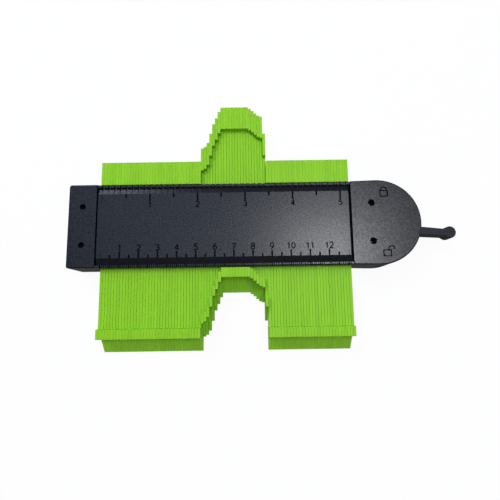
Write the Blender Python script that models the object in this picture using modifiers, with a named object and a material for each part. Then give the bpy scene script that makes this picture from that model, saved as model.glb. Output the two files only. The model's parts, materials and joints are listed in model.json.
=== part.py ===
"""Contour gauge: a stack of sliding lamellae in a two-part housing, locked by a cam lever.

The housing lies flat with its length along X, and the lamellae slide along Y. The origin is on
the rear face, midway along the housing, and Z points out through the ruled face. The lamellae
stand as they do after the gauge was pressed on a shape: a bump of 23 pushed out on the far side.
"""
from math import acos, asin, atan2, cos, hypot, pi, radians, sin, sqrt

import bmesh
import bpy
from mathutils import Matrix

MM = 0.001

# Lamellae, from the square end to the round end
LAMELLA_THICKNESS = 1.45 * MM
LAMELLA_GAP = 0.083 * MM
FLAT_COUNT_SQUARE_END = 35
FLAT_COUNT_ROUND_END = 29
# Share of the full travel that each lamella of the bump is pushed out by
BUMP_SHARES = (0.24, 0.27, 0.34, 0.51, 0.69, 0.80, 0.92) + (1.0,) * 10 + (0.97, 0.93, 0.88, 0.84, 0.82, 0.50)
SLIDE_TRAVEL = 31.2 * MM
SHANK_HEIGHT = 9.4 * MM
HEAD_HEIGHT = 16.0 * MM
FLANGE_LENGTH = 5.2 * MM
NOSE_LENGTH = 7.4 * MM
NOSE_TIP_HEIGHT = 1.0 * MM
NOSE_ROOT_HEIGHT = 7.6 * MM
PAIR_KEY_LENGTH = 60.0 * MM
PAIR_KEY_HEIGHT = 6.0 * MM

# Housing
BODY_WIDTH = 44.8 * MM
ROUND_END_RADIUS = 22.8 * MM
BODY_HEIGHT = 20.0 * MM
SQUARE_BLOCK_LENGTH = 14.74 * MM
STACK_MARGIN_SQUARE_END = 1.47 * MM
STACK_MARGIN_ROUND_END = 0.5 * MM
WALL = 2.4 * MM
EDGE_FILLET = 0.6 * MM
CORNER_RADIUS = 1.2 * MM
PARTING_GAP = 0.1 * MM
RUNNING_CLEARANCE = 0.3 * MM

# Ruled panel on the front cover, with a sloped and graduated band along each side
PANEL_DEPTH = 1.0 * MM
SCALE_BAND_WIDTH = 3.6 * MM
SCALE_BAND_DROP = 1.2 * MM
SCALE_RIM_WIDTH = 1.5 * MM
SCALE_ZERO_INSET = 2.7 * MM
INCH = 25.4 * MM
INCH_STEPS = 8
INCH_SLIT_WIDTH = 0.7 * MM
INCH_TICK_LENGTH = 4.4 * MM
HALF_INCH_TICK_LENGTH = 2.2 * MM
CENTIMETRE = 10.0 * MM
CENTIMETRE_STEPS = 10
MILLIMETRE_SLIT_WIDTH = 0.4 * MM
CENTIMETRE_TICK_LENGTH = 3.4 * MM
HALF_CENTIMETRE_TICK_LENGTH = 1.9 * MM
CENTIMETRE_TICK_WIDTH = 0.7 * MM
GRADUATION_DEPTH = 0.35 * MM
GRADUATION_END_MARGIN = 0.3 * MM
PANEL_GROOVE_WIDTH = 0.9 * MM
PANEL_GROOVE_DEPTH = 1.0 * MM

# Hollows under the panel and the rear wall
LIP_WIDTH = 6.4 * MM
RIB_THICKNESS = 1.6 * MM
RIB_COUNT = 4

# Cover screws, driven from the rear
SCREW_SPACING = 20.5 * MM
SQUARE_END_SCREW_INSET = 7.6 * MM
ROUND_END_SCREW_SETBACK = 3.26 * MM
SCREW_DIAMETER = 2.2 * MM
SCREW_HEAD_DIAMETER = 4.4 * MM
SCREW_HEAD_HEIGHT = 1.2 * MM
SCREW_HEAD_SINK = 0.3 * MM
SCREW_TIP_LENGTH = 1.2 * MM
BOSS_DIAMETER = 5.2 * MM
FRONT_HOLE_DEPTH = 4.0 * MM
FRONT_HOLE_DIAMETER_SQUARE_END = 3.2 * MM
FRONT_HOLE_DIAMETER_ROUND_END = 3.8 * MM

# Cam lever
LEVER_THICKNESS = 7.4 * MM
LEVER_REST_ANGLE = radians(-4.6)
LEVER_SWING_LOCK = radians(72)
LEVER_SWING_UNLOCK = radians(60)
LEVER_REACH = 40.65 * MM
LEVER_OFFSET = 2.0 * MM
LEVER_ROOT_WIDTH = 4.5 * MM
LEVER_TIP_WIDTH = 3.9 * MM
LEVER_FLARE_RISE = 1.5 * MM
LEVER_FLARE_LENGTH = 2.8 * MM
NECK_RADIUS = 3.0 * MM
KNOB_DIAMETER = 6.5 * MM
KNOB_RISE = 0.25 * MM
CAM_RADIUS = 7.0 * MM
CAM_RISE = 0.9 * MM
CAM_OVERRUN = radians(6)
CAM_RUNOUT = radians(22)
HUB_RADIUS = 5.6 * MM
CAM_CLEARANCE = 0.1 * MM
LEVER_EDGE_BEVEL = 0.35 * MM
SLOT_CLEARANCE = 0.5 * MM

# Pivot pin and its bearing bosses
PIN_DIAMETER = 5.0 * MM
PIN_CHAMFER = 0.5 * MM
PIVOT_BOSS_DIAMETER = 10.0 * MM

# Pressure plate between the cam and the last lamella
PLATE_THICKNESS = 3.0 * MM
LOCKED_CLEARANCE = 0.05 * MM
FOLLOWER_LENGTH = 3.62 * MM
FOLLOWER_ROOT_WIDTH = 18.0 * MM
FOLLOWER_FACE_WIDTH = 8.0 * MM

# Fineness of round shapes
END_STEPS = 34
HOLE_STEPS = 16
KNOB_STEPS = 14
NECK_STEPS = 4
CAM_STEPS = 20
RUNOUT_STEPS = 5
HUB_STEPS = 4
FLARE_STEPS = 5
MERGE_DISTANCE = 0.000001

# Colours of the plastics and metals
BLACK_PLASTIC = (0.030, 0.032, 0.040)
GREEN_PLASTIC = (0.270, 0.640, 0.035)
STEEL = (0.55, 0.56, 0.58)

# Places worked out from the sizes
LAMELLA_PITCH = LAMELLA_THICKNESS + LAMELLA_GAP
PUSHED = (0.0,) * FLAT_COUNT_SQUARE_END + BUMP_SHARES + (0.0,) * FLAT_COUNT_ROUND_END
STACK_LENGTH = len(PUSHED) * LAMELLA_PITCH - LAMELLA_GAP
PANEL_LENGTH = STACK_MARGIN_SQUARE_END + STACK_LENGTH + STACK_MARGIN_ROUND_END
CAM_LIFT_PER_RADIAN = CAM_RISE / (LEVER_SWING_LOCK + LEVER_SWING_UNLOCK)
PLATE_ADVANCE = CAM_LIFT_PER_RADIAN * LEVER_SWING_LOCK
PLATE_RETREAT = CAM_LIFT_PER_RADIAN * LEVER_SWING_UNLOCK
STACK_TO_PIVOT = (
    LOCKED_CLEARANCE + PLATE_ADVANCE + PLATE_THICKNESS + FOLLOWER_LENGTH + CAM_CLEARANCE + CAM_RADIUS
)
LENGTH_TO_PIVOT = SQUARE_BLOCK_LENGTH + STACK_MARGIN_SQUARE_END + STACK_LENGTH + STACK_TO_PIVOT
HALF_WIDTH = BODY_WIDTH / 2
BODY_LENGTH = LENGTH_TO_PIVOT + ROUND_END_RADIUS
HALF_HEIGHT = BODY_HEIGHT / 2
INNER_HALF_WIDTH = HALF_WIDTH - WALL
SQUARE_END_X = -BODY_LENGTH / 2
PANEL_LEFT_X = SQUARE_END_X + SQUARE_BLOCK_LENGTH
PANEL_RIGHT_X = PANEL_LEFT_X + PANEL_LENGTH
STACK_LEFT_X = PANEL_LEFT_X + STACK_MARGIN_SQUARE_END
STACK_RIGHT_X = STACK_LEFT_X + STACK_LENGTH
TUNNEL_LEFT_X = STACK_LEFT_X - RUNNING_CLEARANCE
TUNNEL_RIGHT_X = STACK_RIGHT_X + RUNNING_CLEARANCE
TUNNEL_HALF_HEIGHT = SHANK_HEIGHT / 2 + RUNNING_CLEARANCE
FLANGE_FACE_Y = HALF_WIDTH + RUNNING_CLEARANCE + SLIDE_TRAVEL / 2
PIVOT_X = SQUARE_END_X + LENGTH_TO_PIVOT
SCALE_ZERO_X = PANEL_LEFT_X + SCALE_ZERO_INSET
BAND_OUTER_Y = HALF_WIDTH - SCALE_RIM_WIDTH
BAND_INNER_Y = BAND_OUTER_Y - SCALE_BAND_WIDTH
SLOT_HALF_HEIGHT = LEVER_THICKNESS / 2 + SLOT_CLEARANCE
PLATE_FRONT_X = STACK_RIGHT_X + LOCKED_CLEARANCE + PLATE_ADVANCE
PLATE_BACK_X = PLATE_FRONT_X + PLATE_THICKNESS
PLATE_SPACE_X = PLATE_BACK_X + PLATE_RETREAT + RUNNING_CLEARANCE
SCREWS = [
    (x, side * SCREW_SPACING / 2, hole)
    for x, hole in (
        (SQUARE_END_X + SQUARE_END_SCREW_INSET, FRONT_HOLE_DIAMETER_SQUARE_END),
        (PIVOT_X - ROUND_END_SCREW_SETBACK, FRONT_HOLE_DIAMETER_ROUND_END),
    )
    for side in (1, -1)
]
SCREW_SEAT = SCREW_HEAD_SINK + SCREW_HEAD_HEIGHT
OUTSIDE = 2.0 * MM


def clear_scene():
    """Remove what a new file holds and return the collections for pieces and for cutters."""
    for item in list(bpy.data.objects):
        bpy.data.objects.remove(item)
    pieces = bpy.data.collections.new("contour_gauge")
    cutters = bpy.data.collections.new("cutters")
    for collection in (pieces, cutters):
        bpy.context.scene.collection.children.link(collection)
    return pieces, cutters


def plastic(name, colour, roughness, metallic=0.0):
    """A Principled material for one of the plastics or metals."""
    material = bpy.data.materials.new(name)
    material.use_nodes = True
    shader = material.node_tree.nodes["Principled BSDF"]
    shader.inputs["Base Color"].default_value = (*colour, 1)
    shader.inputs["Roughness"].default_value = roughness
    shader.inputs["Metallic"].default_value = metallic
    return material


def arc(centre_x, centre_y, radius, start, end, steps):
    """Points on a circular arc, both ends included."""
    angles = [start + (end - start) * i / steps for i in range(steps + 1)]
    return [(centre_x + radius * cos(a), centre_y + radius * sin(a)) for a in angles]


def flat_mesh(name, outline, low, high):
    """A closed mesh of a flat outline, filled and extruded from low to high along Z."""
    curve = bpy.data.curves.new(name, "CURVE")
    curve.dimensions = "2D"
    curve.fill_mode = "BOTH"
    curve.extrude = (high - low) / 2
    spline = curve.splines.new("POLY")
    spline.points.add(len(outline) - 1)
    for point, (x, y) in zip(spline.points, outline):
        point.co = (x, y, 0, 1)
    spline.use_cyclic_u = True
    drawn = bpy.data.objects.new(name, curve)
    drawn.location.z = (low + high) / 2
    bpy.context.scene.collection.objects.link(drawn)
    bpy.context.view_layer.update()
    evaluated = drawn.evaluated_get(bpy.context.evaluated_depsgraph_get())
    mesh = bpy.data.meshes.new_from_object(evaluated)
    mesh.transform(drawn.matrix_world)
    bpy.data.objects.remove(drawn)
    bpy.data.curves.remove(curve)
    faces = bmesh.new()
    faces.from_mesh(mesh)
    bmesh.ops.remove_doubles(faces, verts=faces.verts, dist=MERGE_DISTANCE)
    bmesh.ops.dissolve_limit(faces, angle_limit=radians(0.1), verts=faces.verts, edges=faces.edges)
    bmesh.ops.recalc_face_normals(faces, faces=faces.faces)
    faces.to_mesh(mesh)
    faces.free()
    return mesh


def box_mesh(name, low, high):
    """A box between two corners."""
    faces = bmesh.new()
    bmesh.ops.create_cube(faces, size=1)
    mesh = bpy.data.meshes.new(name)
    faces.to_mesh(mesh)
    faces.free()
    size = [b - a for a, b in zip(low, high)]
    middle = [(a + b) / 2 for a, b in zip(low, high)]
    mesh.transform(Matrix.Translation(middle) @ Matrix.Diagonal((*size, 1)))
    return mesh


def round_mesh(name, x, y, diameter, low, high):
    """An upright cylinder about (x, y)."""
    faces = bmesh.new()
    radius = diameter / 2
    bmesh.ops.create_cone(
        faces, cap_ends=True, segments=HOLE_STEPS, radius1=radius, radius2=radius, depth=high - low
    )
    mesh = bpy.data.meshes.new(name)
    faces.to_mesh(mesh)
    faces.free()
    mesh.transform(Matrix.Translation((x, y, (low + high) / 2)))
    return mesh


def place(mesh, name, collection, material=None):
    """An object for a mesh, linked to its collection and shaded smooth between its sharp edges."""
    piece = bpy.data.objects.new(name, mesh)
    collection.objects.link(piece)
    if material and not mesh.materials:
        mesh.materials.append(material)
        mesh.shade_smooth()
        mesh.set_sharp_from_angle(angle=radians(35))
    return piece


def tool_group(name, meshes, cutters):
    """A collection of cutting or joining solids for one Boolean modifier."""
    group = bpy.data.collections.new(name)
    cutters.children.link(group)
    for mesh in meshes:
        tool = place(mesh, mesh.name, group)
        tool.hide_render = True
        tool.display_type = "WIRE"
    return group


def combine(piece, operation, group):
    """Cut a group of solids out of a piece, or join them to it."""
    modifier = piece.modifiers.new(group.name, "BOOLEAN")
    modifier.operation = operation
    modifier.operand_type = "COLLECTION"
    modifier.collection = group
    modifier.solver = "EXACT"


def body_outline():
    """The housing seen from the front: square at one end, and round at the other.

    The round end is a little wider than the ruled part. A straight line leads from the end of the
    panel to the point where it touches the arc.
    """
    left = SQUARE_END_X + CORNER_RADIUS
    side = HALF_WIDTH - CORNER_RADIUS
    corner_steps = 3
    back = PANEL_RIGHT_X - PIVOT_X
    touch = atan2(HALF_WIDTH, back) - acos(ROUND_END_RADIUS / hypot(back, HALF_WIDTH))
    return (
        arc(PIVOT_X, 0, ROUND_END_RADIUS, -touch, touch, END_STEPS)
        + [(PANEL_RIGHT_X, HALF_WIDTH)]
        + arc(left, side, CORNER_RADIUS, pi / 2, pi, corner_steps)
        + arc(left, -side, CORNER_RADIUS, pi, 3 * pi / 2, corner_steps)
        + [(PANEL_RIGHT_X, -HALF_WIDTH)]
    )


def fillet_rim(mesh, level):
    """Round the outer edge of a cover where it meets the flat face at this level."""
    faces = bmesh.new()
    faces.from_mesh(mesh)
    rim = [edge for edge in faces.edges if all(abs(v.co.z - level) < MERGE_DISTANCE for v in edge.verts)]
    bmesh.ops.bevel(faces, geom=rim, offset=EDGE_FILLET, segments=2, profile=0.5, affect="EDGES")
    faces.to_mesh(mesh)
    faces.free()


class CoverHalf:
    """One half of the housing, whose heights are measured outwards from the parting plane."""

    def __init__(self, name, side):
        self.name = name
        self.side = side
        self.face = HALF_HEIGHT - (PANEL_DEPTH if side > 0 else 0)

    def span(self, inner, outer):
        """World heights, low and high, of two distances from the parting plane."""
        return sorted(HALF_HEIGHT + self.side * height for height in (inner, outer))

    def label(self, kind):
        return self.name + "_" + kind

    def box(self, kind, left, right, near, far, inner, outer):
        low, high = self.span(inner, outer)
        return box_mesh(self.label(kind), (left, near, low), (right, far, high))

    def flat(self, kind, outline, inner, outer):
        return flat_mesh(self.label(kind), outline, *self.span(inner, outer))

    def cylinder(self, kind, x, y, diameter, inner, outer):
        return round_mesh(self.label(kind), x, y, diameter, *self.span(inner, outer))

    def shell(self):
        mesh = self.flat("shell", body_outline(), PARTING_GAP / 2, HALF_HEIGHT)
        fillet_rim(mesh, HALF_HEIGHT + self.side * HALF_HEIGHT)
        return mesh

    def tunnel(self):
        """The way through for the lamellae, and the closed space beside it for the plate."""
        across = HALF_WIDTH + OUTSIDE
        return [
            self.box("tunnel", TUNNEL_LEFT_X, TUNNEL_RIGHT_X, -across, across, -OUTSIDE, TUNNEL_HALF_HEIGHT),
            self.box(
                "plate_space", TUNNEL_RIGHT_X - RUNNING_CLEARANCE, PLATE_SPACE_X,
                -INNER_HALF_WIDTH, INNER_HALF_WIDTH, -OUTSIDE, TUNNEL_HALF_HEIGHT,
            ),
        ]

    def hollows(self):
        """The moulded hollows between the ribs of the middle part."""
        half = HALF_WIDTH - LIP_WIDTH
        length = TUNNEL_RIGHT_X - TUNNEL_LEFT_X - 2 * WALL
        pocket = (length - RIB_COUNT * RIB_THICKNESS) / (RIB_COUNT + 1)
        floor = TUNNEL_HALF_HEIGHT - OUTSIDE
        top = self.face - WALL
        meshes = []
        for i in range(RIB_COUNT + 1):
            left = TUNNEL_LEFT_X + WALL + i * (pocket + RIB_THICKNESS)
            meshes.append(self.box("hollow", left, left + pocket, -half, half, floor, top))
        return meshes

    def square_end_space(self):
        """The hollow inside the square end."""
        left = SQUARE_END_X + WALL
        right = PANEL_LEFT_X - WALL
        half = INNER_HALF_WIDTH
        return self.box("end_space", left, right, -half, half, -OUTSIDE, HALF_HEIGHT - WALL)

    def lever_space(self):
        """The slot round the round end that the lever sweeps, and the hollow over the cam."""
        start = PLATE_SPACE_X - RUNNING_CLEARANCE
        reach = ROUND_END_RADIUS + OUTSIDE
        slot = (
            [(start, -INNER_HALF_WIDTH), (PIVOT_X, -INNER_HALF_WIDTH)]
            + arc(PIVOT_X, 0, reach, -pi / 2, pi / 2, END_STEPS)
            + [(PIVOT_X, INNER_HALF_WIDTH), (start, INNER_HALF_WIDTH)]
        )
        hollow_start = PLATE_SPACE_X + WALL
        hollow = (
            [(hollow_start, -INNER_HALF_WIDTH)]
            + arc(PIVOT_X, 0, ROUND_END_RADIUS - WALL, -pi / 2, pi / 2, END_STEPS)
            + [(hollow_start, INNER_HALF_WIDTH)]
        )
        return [
            self.flat("slot", slot, -OUTSIDE, SLOT_HALF_HEIGHT),
            self.flat("cam_hollow", hollow, SLOT_HALF_HEIGHT - OUTSIDE, HALF_HEIGHT - WALL),
        ]

    def ruled_panel(self):
        """The sunk panel of the front cover with its two sloped bands and its end groove."""
        panel = HALF_HEIGHT - PANEL_DEPTH
        across = HALF_WIDTH + OUTSIDE
        groove_left = PANEL_RIGHT_X - PANEL_GROOVE_WIDTH
        meshes = [
            self.box("panel", PANEL_LEFT_X, PANEL_RIGHT_X, -across, across, panel, HALF_HEIGHT + OUTSIDE),
            self.box(
                "panel_groove", groove_left, PANEL_RIGHT_X, -BAND_OUTER_Y, BAND_OUTER_Y,
                panel - PANEL_GROOVE_DEPTH, HALF_HEIGHT,
            ),
        ]
        for side in (1, -1):
            section = band_section(side, BAND_OUTER_Y, 0, 0)
            meshes.append(across_mesh("band", section, PANEL_LEFT_X, PANEL_RIGHT_X))
        return meshes

    def bosses(self):
        """The posts that the screws pass through, and the seat of the pivot pin."""
        root = HALF_HEIGHT - WALL / 2
        meshes = [self.cylinder("boss", x, y, BOSS_DIAMETER, PARTING_GAP / 2, root) for x, y, hole in SCREWS]
        seat = LEVER_THICKNESS / 2 + RUNNING_CLEARANCE
        meshes.append(self.cylinder("pivot_boss", PIVOT_X, 0, PIVOT_BOSS_DIAMETER, seat, root))
        return meshes

    def holes(self):
        """The screw holes and the blind socket of the pivot pin."""
        screw_hole = SCREW_DIAMETER + 2 * RUNNING_CLEARANCE
        meshes = []
        for x, y, front_hole in SCREWS:
            if self.side > 0:
                wide, depth = front_hole, FRONT_HOLE_DEPTH
            else:
                wide, depth = SCREW_HEAD_DIAMETER + 2 * RUNNING_CLEARANCE, SCREW_SEAT + RUNNING_CLEARANCE
            meshes.append(self.cylinder("screw_hole", x, y, screw_hole, -OUTSIDE, HALF_HEIGHT - depth / 2))
            meshes.append(self.cylinder("wide_hole", x, y, wide, HALF_HEIGHT - depth, HALF_HEIGHT + OUTSIDE))
        socket = PIN_DIAMETER + 2 * RUNNING_CLEARANCE
        meshes.append(self.cylinder("pin_socket", PIVOT_X, 0, socket, -OUTSIDE, HALF_HEIGHT - WALL))
        return meshes

    def build(self, pieces, cutters, material):
        """The cover, as a shell that is cut, given its posts and drilled."""
        cuts = self.tunnel() + self.hollows() + [self.square_end_space()] + self.lever_space()
        if self.side > 0:
            cuts += self.ruled_panel()
        cover = place(self.shell(), self.name, pieces, material)
        combine(cover, "DIFFERENCE", tool_group(self.label("cuts"), cuts, cutters))
        combine(cover, "UNION", tool_group(self.label("posts"), self.bosses(), cutters))
        combine(cover, "DIFFERENCE", tool_group(self.label("bores"), self.holes(), cutters))
        return cover


def across_mesh(name, section, left, right):
    """A closed mesh of a section seen along the housing, as (y, z), carried from left to right."""
    mesh = flat_mesh(name, section, left, right)
    mesh.transform(Matrix(((0, 0, 1, 0), (1, 0, 0, 0), (0, 1, 0, 0), (0, 0, 0, 1))))
    return mesh


def band_section(side, outer, depth, tick_length):
    """The section cut away over a sloped band, deeper by depth and running on into the panel."""
    top = BODY_HEIGHT
    panel = BODY_HEIGHT - PANEL_DEPTH - depth
    points = [
        (outer, top),
        (outer, panel - SCALE_BAND_DROP),
        (BAND_OUTER_Y, panel - SCALE_BAND_DROP),
        (BAND_INNER_Y, panel),
        (BAND_INNER_Y - tick_length, panel),
        (BAND_INNER_Y - tick_length, top),
    ]
    section = [(side * y, z) for y, z in points]
    return [point for i, point in enumerate(section) if point != section[i - 1]]


class Scale:
    """One of the two rows of graduations, engraved across its sloped band into the panel."""

    def __init__(self, name, side, outer, unit, steps, slit_width, tick_width, long_tick, half_tick):
        self.name = name
        self.side = side
        self.outer = outer
        self.unit = unit
        self.steps = steps
        self.widths = {"slit": slit_width, "half": tick_width, "long": tick_width}
        self.lengths = {"slit": 0, "half": half_tick, "long": long_tick}

    def kind(self, index):
        """The kind of graduation at this step of the scale."""
        if index % self.steps == 0:
            return "long"
        return "half" if index % (self.steps // 2) == 0 else "slit"

    def count(self):
        """How many graduations fit on the panel before its end groove."""
        end = PANEL_RIGHT_X - PANEL_GROOVE_WIDTH - GRADUATION_END_MARGIN - self.widths["long"] / 2
        return int((end - SCALE_ZERO_X) / (self.unit / self.steps)) + 1

    def group(self, cutters):
        """A cutter for each graduation, at its place along the panel."""
        meshes = {}
        for kind, width in self.widths.items():
            section = band_section(self.side, self.outer, GRADUATION_DEPTH, self.lengths[kind])
            meshes[kind] = across_mesh(self.name + "_" + kind, section, -width / 2, width / 2)
        kinds = [self.kind(index) for index in range(self.count())]
        group = tool_group(self.name, [meshes[kind] for kind in kinds], cutters)
        for index, tool in enumerate(group.objects):
            tool.location.x = SCALE_ZERO_X + index * self.unit / self.steps
        return group


def build_scales(cover, cutters):
    """The inch scale on the far side, cut out through the rim, and the centimetre scale opposite."""
    inches = Scale(
        "inch_scale", 1, HALF_WIDTH + OUTSIDE, INCH, INCH_STEPS, INCH_SLIT_WIDTH, INCH_SLIT_WIDTH,
        INCH_TICK_LENGTH, HALF_INCH_TICK_LENGTH,
    )
    centimetres = Scale(
        "centimetre_scale", -1, BAND_OUTER_Y, CENTIMETRE, CENTIMETRE_STEPS, MILLIMETRE_SLIT_WIDTH,
        CENTIMETRE_TICK_WIDTH, CENTIMETRE_TICK_LENGTH, HALF_CENTIMETRE_TICK_LENGTH,
    )
    for scale in (inches, centimetres):
        combine(cover, "DIFFERENCE", scale.group(cutters))


def lamella_outline():
    """A lamella seen along the housing. Half a turn about its middle brings it onto itself."""
    shank = SHANK_HEIGHT / 2
    head = HEAD_HEIGHT / 2
    flange_out = FLANGE_FACE_Y + FLANGE_LENGTH
    tip = flange_out + NOSE_LENGTH
    half = [
        (FLANGE_FACE_Y, -shank),
        (FLANGE_FACE_Y, -head),
        (flange_out, -head),
        (flange_out, head - NOSE_ROOT_HEIGHT),
        (tip, head - NOSE_TIP_HEIGHT),
        (tip, head),
        (FLANGE_FACE_Y, head),
        (FLANGE_FACE_Y, shank),
    ]
    return half + [(-y, -z) for y, z in half]


def lamella_meshes():
    """The mesh of one lamella, and of two that stand level, joined by a key between their shanks."""
    single = across_mesh("lamella", lamella_outline(), -LAMELLA_THICKNESS / 2, LAMELLA_THICKNESS / 2)
    inner = LAMELLA_GAP / 2
    outer = inner + LAMELLA_THICKNESS
    plates = bmesh.new()
    for left, right in ((inner, outer), (-outer, -inner)):
        plates.from_mesh(across_mesh("plate_of_pair", lamella_outline(), left, right))
    pair = bpy.data.meshes.new("lamella_pair")
    plates.to_mesh(pair)
    plates.free()
    reach = inner + LAMELLA_THICKNESS / 2
    key = box_mesh(
        "pair_key",
        (-reach, -PAIR_KEY_LENGTH / 2, -PAIR_KEY_HEIGHT / 2),
        (reach, PAIR_KEY_LENGTH / 2, PAIR_KEY_HEIGHT / 2),
    )
    return single, pair, key


def lamella_groups():
    """Indices of the lamellae in each node: neighbours that stand level go two by two."""
    groups = []
    index = 0
    while index < len(PUSHED):
        level = index + 1 < len(PUSHED) and PUSHED[index] == PUSHED[index + 1]
        groups.append((index, index + 1) if level else (index,))
        index += 2 if level else 1
    return groups


def build_lamellae(pieces, cutters, material):
    """The stack: each group of lamellae at its place along the housing, pushed out by its share."""
    single, pair, key = lamella_meshes()
    for group in lamella_groups():
        numbers = "_".join(f"{index + 1:02d}" for index in group)
        is_pair = len(group) == 2
        piece = place(pair if is_pair else single, "lamella_" + numbers, pieces, material)
        middle = sum(group) / len(group)
        x = STACK_LEFT_X + LAMELLA_THICKNESS / 2 + middle * LAMELLA_PITCH
        y = SLIDE_TRAVEL * (PUSHED[group[0]] - 0.5)
        piece.location = (x, y, HALF_HEIGHT)
        if is_pair:
            joiner = tool_group("key_" + numbers, [key], cutters)
            joiner.objects[0].location = piece.location
            combine(piece, "UNION", joiner)


def cam_profile(hub_start, hub_end):
    """The hub: a spiral cam whose radius runs out evenly at both ends into the round hub.

    The cam's radius grows evenly as the lever turns towards the locked end. The follower touches
    it on the square end's side, so a turn of the lever by an angle brings the point that lies
    back by that angle to the follower.
    """
    contact = pi - LEVER_REST_ANGLE
    start = contact - LEVER_SWING_LOCK - CAM_OVERRUN
    end = contact + LEVER_SWING_UNLOCK + CAM_OVERRUN

    def radius(angle):
        spiral = CAM_RADIUS + CAM_LIFT_PER_RADIAN * (contact - angle)
        beyond = max(start - angle, angle - end, 0) / CAM_RUNOUT
        share = (1 + cos(pi * min(beyond, 1))) / 2
        return HUB_RADIUS + (spiral - HUB_RADIUS) * share

    marks = (hub_start, start - CAM_RUNOUT, start, end, end + CAM_RUNOUT, hub_end)
    counts = (HUB_STEPS, RUNOUT_STEPS, CAM_STEPS, RUNOUT_STEPS, HUB_STEPS)
    stations = []
    for low, high, steps in zip(marks, marks[1:], counts):
        stations += [low + (high - low) * i / steps for i in range(steps)]
    return [(radius(angle) * cos(angle), radius(angle) * sin(angle)) for angle in stations + [hub_end]]


def flare(edge):
    """The hollow curve by which the arm narrows to the bar just outside the housing."""
    shares = [i / FLARE_STEPS for i in range(FLARE_STEPS + 1)]
    return [
        (ROUND_END_RADIUS + LEVER_FLARE_LENGTH * s, edge + LEVER_FLARE_RISE * (1 - s) ** 2) for s in shares
    ]


def neck(side, knob_y):
    """The hollow arc that leads one edge of the bar into the knob, and the angle at its end."""
    centre_y = side * (LEVER_TIP_WIDTH / 2 + NECK_RADIUS) - LEVER_OFFSET
    rise = centre_y - knob_y
    run = sqrt((KNOB_DIAMETER / 2 + NECK_RADIUS) ** 2 - rise**2)
    touch = atan2(-rise, run)
    return arc(LEVER_REACH - run, centre_y, NECK_RADIUS, -side * pi / 2, touch, NECK_STEPS), touch


def lever_outline():
    """The lever seen from the front, pivot at the origin and bar along X."""
    top = LEVER_ROOT_WIDTH / 2 - LEVER_OFFSET
    bottom = -LEVER_ROOT_WIDTH / 2 - LEVER_OFFSET
    knob_y = KNOB_RISE - LEVER_OFFSET
    lower_neck, lower_touch = neck(-1, knob_y)
    upper_neck, upper_touch = neck(1, knob_y)
    hub_start = asin((top + LEVER_FLARE_RISE) / HUB_RADIUS)
    hub_end = 2 * pi + asin(bottom / HUB_RADIUS)
    lower = [(ROUND_END_RADIUS, bottom)] + lower_neck[:-1]
    knob = arc(LEVER_REACH, knob_y, KNOB_DIAMETER / 2, lower_touch - pi, upper_touch + pi, KNOB_STEPS)
    upper = flare(top) + upper_neck[:-1]
    return cam_profile(hub_start, hub_end) + lower + knob + upper[::-1]


def build_lever(pieces, cutters, material):
    """The lever with its cam, bored for the pivot pin and lightly bevelled all round."""
    half = LEVER_THICKNESS / 2
    mesh = flat_mesh("lock_lever", lever_outline(), -half, half)
    lever = place(mesh, "lock_lever", pieces, material)
    lever.location = (PIVOT_X, 0, HALF_HEIGHT)
    lever.rotation_euler.z = LEVER_REST_ANGLE
    bore_diameter = PIN_DIAMETER + 2 * RUNNING_CLEARANCE
    bore = round_mesh("lever_bore", 0, 0, bore_diameter, -half - OUTSIDE, half + OUTSIDE)
    group = tool_group("lever_cuts", [bore], cutters)
    group.objects[0].location = lever.location
    combine(lever, "DIFFERENCE", group)
    edges = lever.modifiers.new("edges", "BEVEL")
    edges.width = LEVER_EDGE_BEVEL
    edges.segments = 1
    edges.limit_method = "ANGLE"
    edges.angle_limit = radians(50)


def build_plate(pieces, cutters, material):
    """The pressure plate with the wedge-shaped follower on its back."""
    half_width = INNER_HALF_WIDTH - RUNNING_CLEARANCE
    half = SHANK_HEIGHT / 2
    mesh = box_mesh("pressure_plate", (0, -half_width, -half), (PLATE_THICKNESS, half_width, half))
    plate = place(mesh, "pressure_plate", pieces, material)
    plate.location = (PLATE_FRONT_X, 0, HALF_HEIGHT)
    face = PLATE_THICKNESS + FOLLOWER_LENGTH
    root = PLATE_THICKNESS / 2
    outline = [
        (root, -FOLLOWER_ROOT_WIDTH / 2),
        (PLATE_THICKNESS, -FOLLOWER_ROOT_WIDTH / 2),
        (face, -FOLLOWER_FACE_WIDTH / 2),
        (face, FOLLOWER_FACE_WIDTH / 2),
        (PLATE_THICKNESS, FOLLOWER_ROOT_WIDTH / 2),
        (root, FOLLOWER_ROOT_WIDTH / 2),
    ]
    follower = flat_mesh("follower", outline, -LEVER_THICKNESS / 2, LEVER_THICKNESS / 2)
    group = tool_group("plate_parts", [follower], cutters)
    group.objects[0].location = plate.location
    combine(plate, "UNION", group)


def turned(name, profile, pieces, material):
    """A turned piece: a profile of radius and height, run from its top to its foot."""
    mesh = bpy.data.meshes.new(name)
    mesh.from_pydata([(radius, 0, height) for radius, height in profile],
                     [(i, i + 1) for i in range(len(profile) - 1)], [])
    mesh.materials.append(material)
    piece = place(mesh, name, pieces)
    screw = piece.modifiers.new("turn", "SCREW")
    screw.steps = HOLE_STEPS
    screw.render_steps = HOLE_STEPS
    screw.use_merge_vertices = True
    screw.merge_threshold = MERGE_DISTANCE
    return piece


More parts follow.
